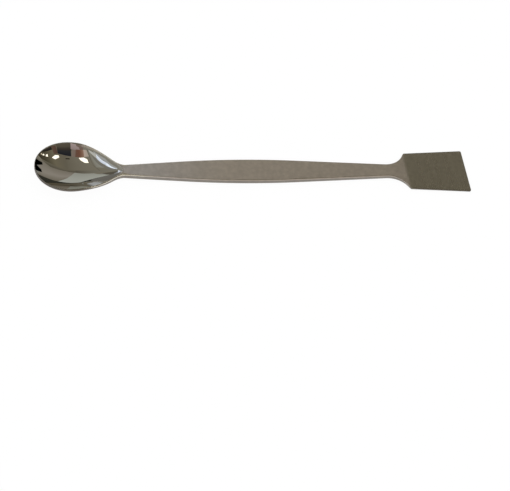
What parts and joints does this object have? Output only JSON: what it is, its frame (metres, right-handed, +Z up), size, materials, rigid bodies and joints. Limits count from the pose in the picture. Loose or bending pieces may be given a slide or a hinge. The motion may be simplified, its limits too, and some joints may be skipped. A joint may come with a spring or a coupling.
{
  "type": "double-ended lab spatula",
  "caption": "Stainless steel lab spatula with an egg-shaped spoon at one end, a flat tapered handle and a broad flared blade at the other end.",
  "frame": {"origin": "on the table, under the centre of the spatula's bounding box as it lies at rest", "axes": "+X along the tool from the spoon to the blade, +Y across it, +Z up, with the hollow of the spoon open upwards"},
  "size_m": [0.21, 0.0284, 0.006],
  "materials": {
    "steel": "stainless steel: polished to a mirror inside the spoon, bead-blasted matte on the handle, fine satin ground on the blade"
  },
  "bodies": {
    "root": {"spoon_spatula": "steel"}
  },
  "joints": []
}
